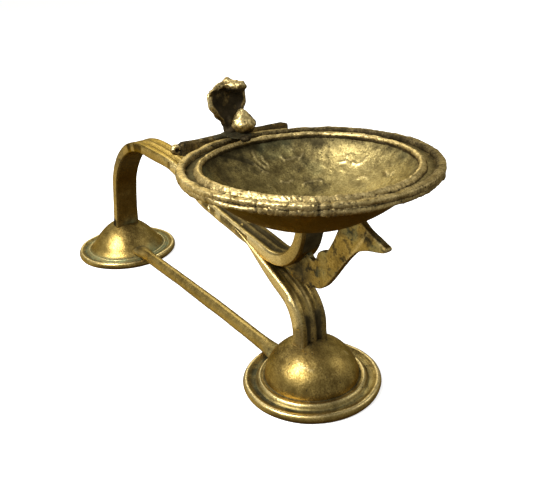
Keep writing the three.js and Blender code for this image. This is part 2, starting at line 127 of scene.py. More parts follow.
def brass(name, light, middle, dark, crust, wear, pitting, roughness, grain):
    """Old cast brass. Three tones of metal in clouds, a dark crust where the piece's layer of patina
    and painted shade says, verdigris where its green says, bright metal on edges and where its layer
    of wear and painted highlights says, and a deep brown painted shade on faces that look down."""
    material = bpy.data.materials.new(name)
    material.use_nodes = True
    nodes = material.node_tree.nodes
    join = material.node_tree.links.new
    shader = nodes["Principled BSDF"]
    shader.inputs["Specular Tint"].default_value = (0.85, 0.68, 0.4, 1)
    place = nodes.new("ShaderNodeTexCoord").outputs["Object"]

    def clouds(size, detail, low, high):
        texture = nodes.new("ShaderNodeTexNoise")
        texture.inputs["Scale"].default_value = 1 / (size * MM)
        texture.inputs["Detail"].default_value = detail
        texture.inputs["Roughness"].default_value = 0.6
        join(place, texture.inputs["Vector"])
        return stretch(texture.outputs["Fac"], low, high)

    def stretch(value, low, high, to_low=0.0, to_high=1.0):
        node = nodes.new("ShaderNodeMapRange")
        node.inputs["From Min"].default_value = low
        node.inputs["From Max"].default_value = high
        node.inputs["To Min"].default_value = to_low
        node.inputs["To Max"].default_value = to_high
        join(value, node.inputs["Value"])
        return node.outputs["Result"]

    def sum_up(operation, a, b):
        node = nodes.new("ShaderNodeMath")
        node.operation = operation
        node.use_clamp = operation in ("ADD", "SUBTRACT")
        for socket, value in zip(node.inputs, (a, b)):
            if isinstance(value, (int, float)):
                socket.default_value = value
            else:
                join(value, socket)
        return node.outputs["Value"]

    def times(a, b):
        return sum_up("MULTIPLY", a, b)

    def tint(amount, a, b):
        node = nodes.new("ShaderNodeMix")
        node.data_type = "RGBA"
        join(amount, node.inputs["Factor"])
        for socket, value in zip((node.inputs[6], node.inputs[7]), (a, b)):
            if isinstance(value, tuple):
                socket.default_value = (*value, 1)
            else:
                join(value, socket)
        return node.outputs[2]

    def painted(layer):
        node = nodes.new("ShaderNodeAttribute")
        node.attribute_name = layer
        return node.outputs["Fac"]

    broad = clouds(16, 3, 0.36, 0.64)
    mottled = clouds(3.2, 5, 0.35, 0.66)
    fine = clouds(0.55, 4, 0.38, 0.62)
    edges = stretch(nodes.new("ShaderNodeNewGeometry").outputs["Pointiness"], 0.505, 0.56)
    hollow = stretch(nodes.new("ShaderNodeNewGeometry").outputs["Pointiness"], 0.492, 0.44)
    spots = nodes.new("ShaderNodeTexVoronoi")
    spots.inputs["Scale"].default_value = 1 / (1.5 * MM)
    join(place, spots.inputs["Vector"])
    pits = times(stretch(spots.outputs["Distance"], 0.26, 0.12), clouds(5, 2, 0.5, 0.62))
    pits = times(pits, pitting)

    metal = tint(broad, dark, middle)
    metal = tint(times(times(mottled, fine), 0.9), metal, light)
    # Painted shade: faces that look down are tinted deep brown.
    metal = tint(times(painted("facing_down_shade"), 0.85), metal, (0.15, 0.082, 0.012))
    # Bright metal on worn edges, and where the piece's layer of wear and painted highlights says.
    bright_metal = sum_up("ADD", times(edges, wear), painted("wear_and_highlight"))
    bright_metal = times(bright_metal, stretch(fine, 0, 1, 0.55, 1.0))
    metal = tint(bright_metal, metal, (0.88, 0.70, 0.33))
    # The dark crust: patina in hollows, and painted shade where the piece's layer carries it.
    patina_and_shade = sum_up("ADD", painted("patina_and_shade"), times(hollow, 0.6))
    patina_and_shade = sum_up("SUBTRACT", patina_and_shade, times(mottled, 0.2))
    patina_and_shade = sum_up("ADD", patina_and_shade, stretch(fine, 0.55, 0.0, 0.0, 0.16))
    patina_and_shade = sum_up("ADD", patina_and_shade, times(pits, 0.9))
    patina_and_shade = stretch(patina_and_shade, 0.05, 0.85)
    crusted = tint(mottled, crust, tuple(2.4 * tone for tone in crust))
    colour = tint(patina_and_shade, metal, crusted)
    verdigris = times(painted("green"), stretch(mottled, 0.2, 0.9, 0.35, 1.0))
    colour = tint(verdigris, colour, (0.11, 0.16, 0.085))
    join(colour, shader.inputs["Base Color"])

    bare = sum_up("SUBTRACT", 1.0, times(patina_and_shade, 0.2))
    join(sum_up("SUBTRACT", bare, times(verdigris, 0.6)), shader.inputs["Metallic"])
    dull = sum_up("ADD", roughness, times(patina_and_shade, 0.25))
    dull = sum_up("ADD", dull, stretch(mottled, 0, 1, 0.0, 0.1))
    dull = sum_up("SUBTRACT", dull, times(bright_metal, 0.1))
    join(dull, shader.inputs["Roughness"])

    relief = times(clouds(0.7, 6, 0.25, 0.75), grain)
    relief = sum_up("ADD", relief, times(clouds(2.6, 3, 0.25, 0.75), grain))
    relief = sum_up("SUBTRACT", sum_up("ADD", relief, 0.1), times(pits, 0.5))
    bump = nodes.new("ShaderNodeBump")
    bump.inputs["Strength"].default_value = 0.5
    bump.inputs["Distance"].default_value = 0.25 * MM
    join(relief, bump.inputs["Height"])
    join(bump.outputs["Normal"], shader.inputs["Normal"])
    return material


def in_scene(name, data):
    thing = bpy.data.objects.new(name, data)
    bpy.context.scene.collection.objects.link(thing)
    return thing


def nothing(point):
    return 0.0


def finished(name, bm, material, nodes, seed, uneven=0.14, patina_and_shade=nothing, wear_and_highlight=nothing,
             green=nothing):
    """Gives a piece its hand-worked unevenness and its painted layers, and sets it in the lamp.
    Faces that look down also get a layer of painted shade, which tints them deep brown."""
    bm.normal_update()
    moves = []
    for vert in bm.verts:
        lump = cloud(vert.co, 13, seed) + 0.4 * cloud(vert.co, 4.5, seed + 5)
        moves.append(vert.normal * uneven * lump)
    for vert, move in zip(bm.verts, moves):
        vert.co += move
    # Painted layers: patina with painted shade, wear with painted highlights, and green.
    layers = [(bm.verts.layers.float.new(layer), paint) for layer, paint in
              (("patina_and_shade", patina_and_shade), ("wear_and_highlight", wear_and_highlight), ("green", green))]
    facing_down_shade = bm.verts.layers.float.new("facing_down_shade")
    bm.normal_update()
    for vert in bm.verts:
        for layer, paint in layers:
            vert[layer] = min(max(paint(vert.co), 0.0), 1.0)
        # Painted shade: the more a face looks down, the more it is tinted deep brown.
        vert[facing_down_shade] = blend_in(-vert.normal.z, -0.1, 0.45)
        vert.co *= MM
    for face in bm.faces:
        face.smooth = True
    mesh = bpy.data.meshes.new(name)
    bm.to_mesh(mesh)
    bm.free()
    piece = in_scene(name, mesh)
    mesh.materials.append(material)
    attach(piece, "root")
    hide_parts(*nodes)
    return piece


handled_brass = brass("handled_brass", light=(0.56, 0.40, 0.125), middle=(0.33, 0.225, 0.058),
                      dark=(0.17, 0.11, 0.028), crust=(0.03, 0.023, 0.010), wear=0.35,
                      pitting=0.8, roughness=0.33, grain=0.3)

FOOT_TURNS = 224
DOME_WALL = 2.0
DISC_INWARD = 2.4  # how far the disc reaches in under the dome
DISC_WAVE = 0.4  # how far the disc's edge wanders in from a true round


def foot(end, seed, dome_line, ring_height, moat_green, patina_side):
    """One foot, from the CAD nodes named for this end of the lamp. The moat is the hollow of the
    disc outside the ring, darkest at the bearing patina_side."""
    low, high = span(end + "_foot_disc")
    x = (low.x + high.x) / 2
    radius = (high.x - low.x) / 2
    dome_low, dome_high = span(end + "_foot_dome")
    dome = (dome_high.x - dome_low.x) / 2
    top = dome_high.z
    floor_height = dome_low.z
    away_from_rod = 1 if end == "front" else -1

    def reach(point):
        return math.hypot(point.x - x, point.y)

    def bearing(point):
        return math.atan2(point.y, point.x - x)

    inner = dome - DISC_INWARD
    rolled_edge = [(inner, 0), (inner, 0), (radius - 1.7, 0), (radius - 0.5, 0.25),
                   (radius, 1.1), (radius - 0.05, 2.1), (radius - 0.6, 2.95),
                   (radius - 1.5, 3.05), (radius - 2.5, 2.5), (radius - 4, 2.1), (inner, 2.2),
                   (inner, 2.2), (inner, 0)]
    disc = spun(flowing(rolled_edge, 5), x, FOOT_TURNS)
    for vert in disc.verts:
        share = blend_in(reach(vert.co), inner, radius)
        around = Vector((math.cos(bearing(vert.co)), math.sin(bearing(vert.co)), 0))
        wave = 0.5 + 0.5 * cloud(around * 9, 8, seed)
        vert.co -= around * DISC_WAVE * wave * share
        if vert.co.z > 1.5:
            vert.co.z += 0.25 * share * cloud(around * 14, 6, seed + 2)

    def disc_patina_and_shade(point):
        moat = bump_at(reach(point) - (radius - 4.2), 1.9) * blend_in(point.z, 1.4, 2.0)
        side = 0.5 + 0.5 * math.cos(bearing(point) - patina_side)
        # Painted shade: the bottom and the lower half of the rolled edge are darkened.
        low_edge_shade = 1 - blend_in(point.z, 0.2, 1.2)
        mottle = 0.75 + 0.5 * cloud(point, 2.4, seed + 3)
        return moat * mottle * (0.4 + 0.9 * side) + 0.55 * low_edge_shade

    def disc_rub(point):
        return 0.75 * bump_at(reach(point) - (radius - 1.0), 0.7) * blend_in(point.z, 2.3, 2.9)

    def disc_green(point):
        return moat_green * bump_at(reach(point) - (radius - 4.4), 1.7) * blend_in(point.z, 1.4, 2)

    finished(end + "_disc", disc, handled_brass, [end + "_foot_disc"], seed, 0.09,
             disc_patina_and_shade, disc_rub, disc_green)

    ring_line = [(dome - 1.2, 2.3), (dome - 0.6, ring_height + 0.1),
                 (dome + 0.1, ring_height - 0.3), (dome + 0.8, ring_height - 0.35),
                 (dome + 1.6, ring_height - 0.15), (dome + 2.2, ring_height - 0.6),
                 (dome + 2.7, 2.5), (dome + 3.1, 2.0), (dome + 1.0, 1.7), (dome - 1.2, 2.3)]
    ring = spun(flowing(ring_line, 5), x, FOOT_TURNS)

    def ring_patina(point):
        groove = 1 - blend_in(reach(point), dome + 0.2, dome + 1.1)
        foot_line = blend_in(reach(point), dome + 2.4, dome + 3.1)
        return 0.75 * groove + 0.6 * foot_line

    def ring_rub(point):
        return 0.5 * bump_at(reach(point) - (dome + 1.7), 0.7)

    finished(end + "_collar", ring, handled_brass, [end + "_foot_collar"], seed + 1,
             0.16, ring_patina, ring_rub, disc_green)

    outline = dome_line(dome, top, floor_height)
    inside = [(across - DOME_WALL, max(height - DOME_WALL, floor_height))
              for across, height in flowing(outline, 2)[::-1] if across > DOME_WALL]
    inside = sorted([(0, top - DOME_WALL)] + inside, key=lambda corner: -corner[1])
    body = spun(inside + flowing(outline, 6)[::-1], x, FOOT_TURNS)

    def dome_patina(point):
        root = bump_at(math.hypot(point.x - x, point.y / 1.9), 4.4)
        base = 1 - blend_in(point.z, floor_height, floor_height + 1.6)
        return (0.75 * root + 0.7 * base) * blend_in(point.z, 2, 3) + 0.12

    def dome_green(point):
        base = 1 - blend_in(point.z, floor_height, floor_height + 1.8)
        rod_stain = bump_at(math.hypot(point.x - x + away_from_rod * 14.5,
                                       point.y + away_from_rod * 6), 4.2)
        return moat_green * 0.7 * base + 0.7 * rod_stain * (1 - blend_in(point.z, 5, 9))

    def dome_rub(point):
        if end == "rear":
            return 0.0
        scratch = distance_to_line(point.x - x, point.z, [(3.4, top - 2.8), (10.0, top - 4.8)])
        return 0.4 * bump_at(scratch, 0.2) * blend_in(-point.y, 4, 6)

    finished(end + "_dome", body, handled_brass, [end + "_foot_dome"], seed + 2, 0.2,
             dome_patina, dome_rub, dome_green)


def round_dome(dome, top, floor_height):
    rise = top - floor_height
    turns = [math.radians(angle) for angle in (0, 14, 30, 46, 60, 72, 82)]
    line = [(dome * math.cos(turn), floor_height + rise * math.sin(turn)) for turn in turns]
    return line + [(dome * 0.06, top), (0, top)]


def flared_dome(dome, top, floor_height):
    rise = top - floor_height
    shares = [(1.12, 0.0), (1.04, 0.06), (0.96, 0.17), (0.86, 0.36), (0.72, 0.58), (0.55, 0.78),
              (0.36, 0.93), (0.16, 0.99)]
    line = [(dome * across, floor_height + rise * up) for across, up in shares]
    return line + [(dome * 0.05, top), (0, top)]


foot("front", seed=11.3, dome_line=round_dome, ring_height=3.9, moat_green=0.25, patina_side=-1.9)
foot("rear", seed=23.9, dome_line=flared_dome, ring_height=3.3, moat_green=0.85, patina_side=-1.4)

# ---- tie rod ----
# A hand-drawn brass rod brazed between the two discs. It is not quite straight or round, and its
# ends are hammered wider where they lie on the discs.

rod_low, rod_high = span("tie_rod")


def swept(line, sides, section):
    """A bar along a line of (place, side, up) stations. section(share) gives a station's outline,
    one (across, out) pair for each side of the bar."""
    bm = bmesh.new()
    bmesh.ops.create_cone(bm, cap_ends=True, segments=sides, radius1=1, radius2=1, depth=1)
    upright = [edge for edge in bm.edges if abs(edge.verts[0].co.z - edge.verts[1].co.z) > 0.5]
    bmesh.ops.subdivide_edges(bm, edges=upright, cuts=len(line) - 2, use_grid_fill=True)
    outlines = [section(i / (len(line) - 1)) for i in range(len(line))]
    for vert in bm.verts:
        corner = round(math.atan2(vert.co.y, vert.co.x) / math.tau * sides) % sides
        station = round((vert.co.z + 0.5) * (len(line) - 1))
        across, out = outlines[station][corner]
        place, side, up = line[station]
        vert.co = place + side * across + up * out
    bmesh.ops.recalc_face_normals(bm, faces=bm.faces)
    return bm


ROD_STATIONS = 150
ROD_SIDES = 32
ROD_RADIUS = 2.6
ROD_REAR_HEIGHT = 5.4
ROD_FRONT_HEIGHT = 4.5
rod_start = Vector((rod_low.x - 0.4, rod_high.y - ROD_RADIUS, ROD_REAR_HEIGHT))
rod_end = Vector((rod_high.x + 0.4, rod_low.y + ROD_RADIUS, ROD_FRONT_HEIGHT))
rod_line = []
for i in range(ROD_STATIONS):
    share = i / (ROD_STATIONS - 1)
    place = rod_start.lerp(rod_end, share)
    place.y += 0.5 * math.sin(share * math.pi) + 0.25 * cloud(place, 30, 3)
    place.z += 0.35 * cloud(place, 26, 8) * math.sin(share * math.pi)
    rod_line.append((place, Vector((0, 1, 0)), Vector((0, 0, 1))))


def rod_section(share):
    end = 1 - blend_in(min(share, 1 - share), 0.0, 0.1)
    width = ROD_RADIUS - 0.05 + 1.3 * end
    height = ROD_RADIUS + 0.15 - 0.6 * end
    turns = [math.tau * i / ROD_SIDES for i in range(ROD_SIDES)]
    return [(width * math.cos(turn), height * math.sin(turn)) for turn in turns]


def rod_patina(point):
    ends = max(bump_at(point.x - rod_low.x, 5), bump_at(point.x - rod_high.x, 5))
    return 0.5 * ends + 0.1


finished("tie_rod_bar", swept(rod_line, ROD_SIDES, rod_section), handled_brass,
         ["tie_rod"], 31.7, 0.16, rod_patina, nothing, lambda point: 0.35 * rod_patina(point))

# ---- front leg and handle strap ----
# Two bars of cast brass with three soft ridges on one face and a smooth back. The leg bends back at
# its knee and is scarfed along the underside of the strap. The strap comes up from the rear foot,
# arches over as the handle, runs down under the bowl and curls up to it.

front_x = (span("front_foot_disc")[0].x + span("front_foot_disc")[1].x) / 2
rear_x = (span("rear_foot_disc")[0].x + span("rear_foot_disc")[1].x) / 2
bowl_low, bowl_high = span("bowl")
bowl_x = (bowl_low.x + bowl_high.x) / 2
CURL_X = front_x - 0.6
CURL_Z = bowl_low.z - 20.2
KNEE_Z = CURL_Z - 9.3
ARCH_X = rear_x + 13.2
BEND_STEPS = 12


def bent(corners, bends, stride):
    """Stations along straight runs whose corners are rounded to the given bends, in the lamp's
    upright middle plane. Each has its place, the lamp's left, and the bar's own left-hand side."""
    points = [Vector(corners[0])]
    for corner, before, after, bend in zip(corners[1:], corners, corners[2:], bends):
        corner, before, after = Vector(corner), Vector(before), Vector(after)
        incoming = (corner - before).normalized()
        outgoing = (after - corner).normalized()
        turn = math.atan2(incoming.x * outgoing.y - incoming.y * outgoing.x,
                          incoming.dot(outgoing))
        start = corner - incoming * bend * math.tan(abs(turn) / 2)
        middle = start + Vector((-incoming.y, incoming.x)) * math.copysign(bend, turn)
        for i in range(BEND_STEPS + 1):
            arm = start - middle
            arm.rotate(Matrix.Rotation(turn * i / BEND_STEPS, 2))
            points.append(middle + arm)
    points.append(Vector(corners[-1]))
    stations = []
    for a, b in zip(points, points[1:]):
        steps = max(round((b - a).length / stride), 1)
        stations += [a.lerp(b, i / steps) for i in range(steps)]
    stations.append(points[-1])
    for sweep in range(10):
        stations = ([stations[0]] + [(a + 2 * b + c) / 4 for a, b, c in
                                     zip(stations, stations[1:], stations[2:])] + [stations[-1]])
    line = []
    for i, point in enumerate(stations):
        ahead = stations[min(i + 1, len(stations) - 1)] - stations[max(i - 1, 0)]
        ahead.normalize()
        line.append((Vector((point.x, 0, point.y)), Vector((0, 1, 0)),
                     Vector((-ahead.y, 0, ahead.x))))
    return line


BAR_SIDES = 72
RIDGES = 3
CORNER = 0.6


def ridged(width, thickness, depth, out):
    """A bar's outline: ridges on the side that out points to, rounded corners, a smooth back."""
    half = width / 2

    def place_across(turn):
        spread = math.copysign(abs(turn) ** 0.72, turn)
        return spread * half

    def rounding(across, reach):
        return CORNER * (1 - math.sqrt(1 - blend_in(abs(across), half - reach, half) ** 2))

    face = []
    for i in range(BAR_SIDES // 2 + 1):
        across = place_across(math.cos(math.pi * i / (BAR_SIDES // 2)))
        sink = rounding(across, 1.3)
        if abs(across) < half - width / RIDGES / 2:
            ridge = (across + half) / width * RIDGES % 1.0
            sink = depth * (1 - math.sqrt(1 - (2 * ridge - 1) ** 2))
        face.append((across, out * (thickness / 2 - sink)))
    back = []
    for i in range(1, BAR_SIDES // 2):
        across = place_across(-math.cos(math.pi * i / (BAR_SIDES // 2)))
        back.append((across, -out * (thickness / 2 - rounding(across, 1.0))))
    return face + back


BAR_STRIDE = 0.7
leg_line = bent([(CURL_X, 6), (CURL_X, KNEE_Z), (CURL_X - 37, KNEE_Z + 15.6)], [13], BAR_STRIDE)
strap_line = bent([(rear_x, 5), (ARCH_X, 63.8), (ARCH_X + 53.8, 60.9),
                   (ARCH_X + 77.8, CURL_Z + 11.1), (CURL_X, CURL_Z), (bowl_x, bowl_low.z + 1.5)],
                  [35, 36, 36, 17], BAR_STRIDE)
LEG_WIDTH = 11.2
LEG_THICKNESS = 5.4
STRAP_WIDTH = 10.8
STRAP_THICKNESS = 4.5


def leg_section(share):
    scarf = blend_in(share, 0.45, 1.0)
    foot_flare = 1 - blend_in(share, 0.04, 0.22)
    thin = LEG_THICKNESS * (1 - 0.8 * scarf)
    outline = ridged(LEG_WIDTH * (1 - 0.16 * scarf) + 2.3 * foot_flare, thin + 1.1 * foot_flare,
                     1.7 * (1 - scarf), -1)
    shift = -(LEG_THICKNESS - thin) / 2
    return [(across, out + shift) for across, out in outline]


def strap_section(share):
    drawn = blend_in(share, 0.3, 0.95)
    foot_flare = 1 - blend_in(share, 0.02, 0.12)
    arch = bump_at(share - 0.3, 0.17)
    width = STRAP_WIDTH * (1 - 0.18 * drawn) + 1.2 * foot_flare
    return ridged(width, STRAP_THICKNESS + 0.5 * foot_flare, 1.35 - 0.75 * arch, 1)


def groove_dark(point, half):
    """Most in the two grooves that lie a third of the way across, and none on the sides."""
    across = abs(point.y) / half
    return bump_at(across - 0.36, 0.2)


def leg_patina_and_shade(point):
    front = blend_in(point.x + 0.35 * max(point.z - KNEE_Z, 0), CURL_X + 0.2, CURL_X + 1.6)
    knee = bump_at(math.hypot(point.x - CURL_X, point.z - KNEE_Z - 5), 5)
    # Painted highlight: patina is kept off the leg's -y side, so that side stays bright.
    side_highlight = 1 - blend_in(-point.y, 3.8, 4.8)
    # Painted shade: the +y half of the leg's front is darkened.
    shaded = 0.2 * blend_in(point.y, 1.0, 3.5)
    grooves = 0.75 * groove_dark(point, 5.6) + 0.28 + 0.3 * blend_in(point.z, 20, 34)
    return front * side_highlight * (grooves + shaded) + 0.5 * knee * side_highlight


# Painted highlight: the leg's -y side is tinted bright metal.
def leg_side_highlight(point):
    return 0.5 * blend_in(-point.y, 4.0, 5.0)


def strap_patina_and_shade(point):
    run = blend_in(point.x, ARCH_X + 58, ARCH_X + 80)
    curl = blend_in(point.x, CURL_X - 8, CURL_X + 1) * blend_in(point.z, CURL_Z, CURL_Z + 6)
    # Painted shadow: the outer face of the curl under the bowl is darkened.
    outer = blend_in(point.x - CURL_X, 0.4, 2.0) * blend_in(point.z, CURL_Z - 1, CURL_Z + 4)
    # Painted highlight: patina is kept off the strap's -y side, so that side stays bright.
    side_highlight = 1 - blend_in(-point.y, 2.9, 3.7)
    # Painted shade: the inside of the arch is darkened.
    arch_inside_shade = blend_in(point.z, 38, 52) * blend_in(point.x, ARCH_X - 13, ARCH_X - 6)
    arch_inside_shade *= 1 - blend_in(point.x, ARCH_X + 6, ARCH_X + 16)
    arch_inside_shade *= 1 - blend_in(point.z, 57.5, 60)
    grooves = groove_dark(point, 4.8) * (0.1 + 0.6 * run * (1 - curl)) + 0.5 * run * (1 - curl)
    root = bump_at(point.z - 16, 3.5) * (1 - blend_in(point.x, rear_x + 20, rear_x + 30))
    darkest = max(grooves * side_highlight, 1.2 * outer * side_highlight, 0.5 * arch_inside_shade, 0.4 * root)
    return darkest + 0.05


def strap_green(point):
    root = bump_at(point.z - 15.5, 2.5) * bump_at(point.y - 1, 3)
    return 0.8 * root * (1 - blend_in(point.x, rear_x + 20, rear_x + 30))


# Painted highlight: the strap's -y side is tinted bright metal along its run down towards the curl.
def strap_side_highlight(point):
    run = blend_in(point.x, ARCH_X + 45, ARCH_X + 62)
    run *= 1 - blend_in(point.x, CURL_X - 16, CURL_X - 4)
    return 0.7 * run * blend_in(-point.y, 3.3, 4.0)


finished("leg_bar", swept(leg_line, BAR_SIDES, leg_section), handled_brass,
         ["front_leg"], 41.2, 0.24, leg_patina_and_shade, leg_side_highlight)
finished("strap_bar", swept(strap_line, BAR_SIDES, strap_section), handled_brass,
         ["handle_strap"], 53.4, 0.26, strap_patina_and_shade, strap_side_highlight, strap_green)

# ---- leaf bracket ----
# A leaf sawn from cast sheet, brazed on edge between the leg's knee and the bowl. Its faces keep a
# mottled brown skin, and its edges and drooping point carry painted highlights.


def worked(bm, voxel, passes):
    """Closed lumps melted into one skin with soft edges, as wax is worked before casting."""
    mesh = bpy.data.meshes.new("wax")
    bm.to_mesh(mesh)
    bm.free()
    wax = in_scene("wax", mesh)
    remesh = wax.modifiers.new("skin", "REMESH")
    remesh.mode = "VOXEL"
    remesh.voxel_size = voxel
    bpy.context.view_layer.update()
    skin = bpy.data.meshes.new_from_object(wax.evaluated_get(
        bpy.context.evaluated_depsgraph_get()))
    bpy.data.objects.remove(wax)
    bpy.data.meshes.remove(mesh)
    result = bmesh.new()
    result.from_mesh(skin)
    bpy.data.meshes.remove(skin)
    for sweep in range(passes):
        bmesh.ops.smooth_vert(result, verts=result.verts, factor=0.5, use_axis_x=True,
                              use_axis_y=True, use_axis_z=True)
    return result


def node_copy(node):
    """A copy of a CAD node's mesh in millimetres, with its corners joined."""
    bm = bmesh.new()
    bm.from_mesh(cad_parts[node].data)
    for vert in bm.verts:
        vert.co /= MM
    bmesh.ops.remove_doubles(bm, verts=bm.verts, dist=1e-3)
    return bm


leaf_low = span("leaf_bracket")[0]
LEAF_HALF_THICKNESS = 1.1
# The sawn outline, as (forward of the curl, height) pairs. A pair given twice is a corner.
leaf_edge = [(-16, 42), (-16, 42), (-7, 38), (-2, 37.6), (5.5, 38.4), (9, 40.2), (11.8, 43.1),
             (15.9, 48.2), (21, 54.3), (24, 57.2), (27.1, 58.8), (30.5, 59.8), (33.7, 60.5),
             (35.9, 61.2), (36.9, 62.1), (36.6, 62.9), (35, 63.5), (32.6, 64.5), (29.8, 65.6),
             (27.5, 67), (25, 69), (25, 69), (16, 62), (16, 62), (12.9, 56.5), (10.2, 52.6),
             (10.2, 52.6), (9.3, 52.7), (8, 52.4), (6.4, 51.5), (5.5, 50), (4.9, 48.5),
             (3.7, 47.6), (2.3, 47.7), (1.3, 48.6), (-0.5, 49.5), (-4, 45.5), (-16, 44.5),
             (-16, 44.5), (-16, 42)]
leaf_shape = bmesh.new()
corners = [leaf_shape.verts.new((CURL_X + forward, -LEAF_HALF_THICKNESS, height))
           for forward, height in flowing(leaf_edge, 4)[:-1]]
sheet = leaf_shape.faces.new(corners)
extruded = bmesh.ops.extrude_face_region(leaf_shape, geom=[sheet])["geom"]
bmesh.ops.translate(leaf_shape, vec=(0, 2 * LEAF_HALF_THICKNESS, 0),
                    verts=[part for part in extruded if isinstance(part, bmesh.types.BMVert)])
bmesh.ops.remove_doubles(leaf_shape, verts=leaf_shape.verts, dist=1e-3)
bmesh.ops.recalc_face_normals(leaf_shape, faces=leaf_shape.faces)
leaf = worked(leaf_shape, 0.25, 3)
for vert in leaf.verts:
    forward = vert.co.x - leaf_low.x
    vert.co.y += 0.25 * math.sin(forward / 9) + 0.2 * cloud(vert.co, 9, 60)


def leaf_patina(point):
    blotch = blend_in(cloud(point, 3, 66) + 0.7 * cloud(point, 1.1, 67), 0.1, 0.6)
    root = bump_at(math.hypot(point.x - CURL_X + 3, point.z - CURL_Z - 2), 6.5)
    seam = bump_at(point.z - 61 - 0.25 * abs(point.x - bowl_x - 14), 1.2)
    seam *= blend_in(point.x, bowl_x + 8, bowl_x + 14)
    return 0.6 * blotch + 0.8 * root + 0.5 * seam + 0.1


def leaf_edge_highlight(point):
    # Painted highlights: bright metal along the upper edge near the point, and along the lower edge
    # on the -y face.
    top_edge = point.z - 62.6 + 0.55 * (point.x - CURL_X - 35.5)
    tip = bump_at(top_edge, 0.8) * blend_in(point.x, CURL_X + 29, CURL_X + 34)
    low_edge = bump_at(point.z - 47.1 - 1.32 * (point.x - CURL_X - 15.4), 0.9)
    return 0.6 * tip + 0.4 * low_edge * blend_in(-point.y, 0.6, 1.0)


finished("leaf_plate", leaf, handled_brass, ["leaf_bracket"], 61.5, 0.1, leaf_patina,
         leaf_edge_highlight, lambda point: 0.35 * blend_in(cloud(point, 6, 71), 0.1, 0.5))

# ---- bowl ----
# A thin cast bowl with a flat flange. The inside is skinned with old wax burnt on in low crooked
# folds, and the outside is smooth, handled and brown. A flow line runs along the handle's side.

flange_top = bowl_high.z
bowl_radius = (bowl_high.x - bowl_low.x) / 2
lip_low, lip_high = span("inner_lip")
mouth = (lip_high.x - lip_low.x) / 2 - 1.4
BOWL_WALL = 2
bowl_floor = bowl_low.z + BOWL_WALL
deep = flange_top - bowl_floor
ball = (mouth ** 2 + deep ** 2) / (2 * deep)
ball_z = bowl_floor + ball
ball_middle = Vector((bowl_x, 0, ball_z))


def ball_line(radius, height, steps):
    """The bowl's round outline from the bottom up to this height."""
    end = math.asin((height - ball_z) / radius)
    turns = [-math.pi / 2 + (end + math.pi / 2) * i / steps for i in range(steps + 1)]
    return [(radius * math.cos(turn), ball_z + radius * math.sin(turn)) for turn in turns]


bowl_outline = ball_line(ball + BOWL_WALL, flange_top - 1.7, 40)
bowl_outline += [(bowl_radius + 0.2, flange_top - 1.6), (bowl_radius + 0.3, flange_top - 0.8),
                 (bowl_radius + 0.2, flange_top)]
bowl_outline += ball_line(ball, flange_top, 100)[::-1]
bowl_mesh = spun(bowl_outline, bowl_x, 440)

# Folds of burnt wax, each a line of (x, y) from the bowl's middle, with its height.
wax_folds = [
    ([(-31, 0.6), (-29, 0.4), (-27.4, 1.2), (-26, 1.6), (-25.6, 3.0), (-27, 3.4), (-29, 2.6)],
     0.75),
    ([(-28.6, -1.6), (-26.6, -0.4), (-25.2, 0.2), (-24.2, 1.8)], 0.5),
    ([(-27, 9.4), (-25.4, 9.8), (-24.6, 11.6), (-24.4, 13.6), (-23.2, 14.8), (-23.6, 16.2)], 0.65),
    ([(-29, 12), (-27.6, 13.6), (-26.2, 14.2)], 0.45),
    ([(-8.6, 25.2), (-6.8, 25.2), (-5.8, 26.6), (-5.2, 28)], 0.5),
    ([(-3, 22), (-1.4, 23.4), (0.6, 23.2)], 0.4),
    ([(-15.6, 9.6), (-15.0, 12), (-14.0, 14), (-12.2, 15.2)], 0.5),
    ([(-20, 4), (-18.6, 6), (-19, 8)], 0.35),
    ([(6, 26), (8, 25), (9.6, 25.8)], 0.4),
    ([(-12, 26), (-11, 24.4), (-12.4, 23)], 0.4),
]
flow_line = [(-30.2, -15), (-30.4, -11), (-30, -7.4), (-29.2, -3.8), (-28, -2)]


def bearing_of(point):
    return math.degrees(math.atan2(point.y, point.x - bowl_x))


def rim_lift(point):
    """How far the rim was pulled up on the lamp's right when the lamp was brazed together."""
    return bump_at((bearing_of(point) + 72) / 45, 1)


def warp_rim(bm):
    for vert in bm.verts:
        vert.co.z += rim_lift(vert.co) * blend_in(vert.co.z, flange_top - 4, flange_top - 1)


def inside_bowl(point):
    return (point - ball_middle).length < ball + 1 and point.z < flange_top - 0.2


for vert in bowl_mesh.verts:
    if inside_bowl(vert.co):
        x = vert.co.x - bowl_x
        y = vert.co.y
        wander = 0.5 * cloud(vert.co, 1.6, 90)
        rise = sum(height * 0.6 * bump_at(distance_to_line(x + wander, y - wander, line), 0.36)
                   for line, height in wax_folds)
        rise -= 0.6 * bump_at(distance_to_line(x, y, flow_line), 0.34)
        rise += 0.14 * blend_in(cloud(vert.co, 2.6, 92), 0.0, 0.5) + 0.05 * cloud(vert.co, 1.1, 93)
        vert.co += (ball_middle - vert.co).normalized() * rise
warp_rim(bowl_mesh)


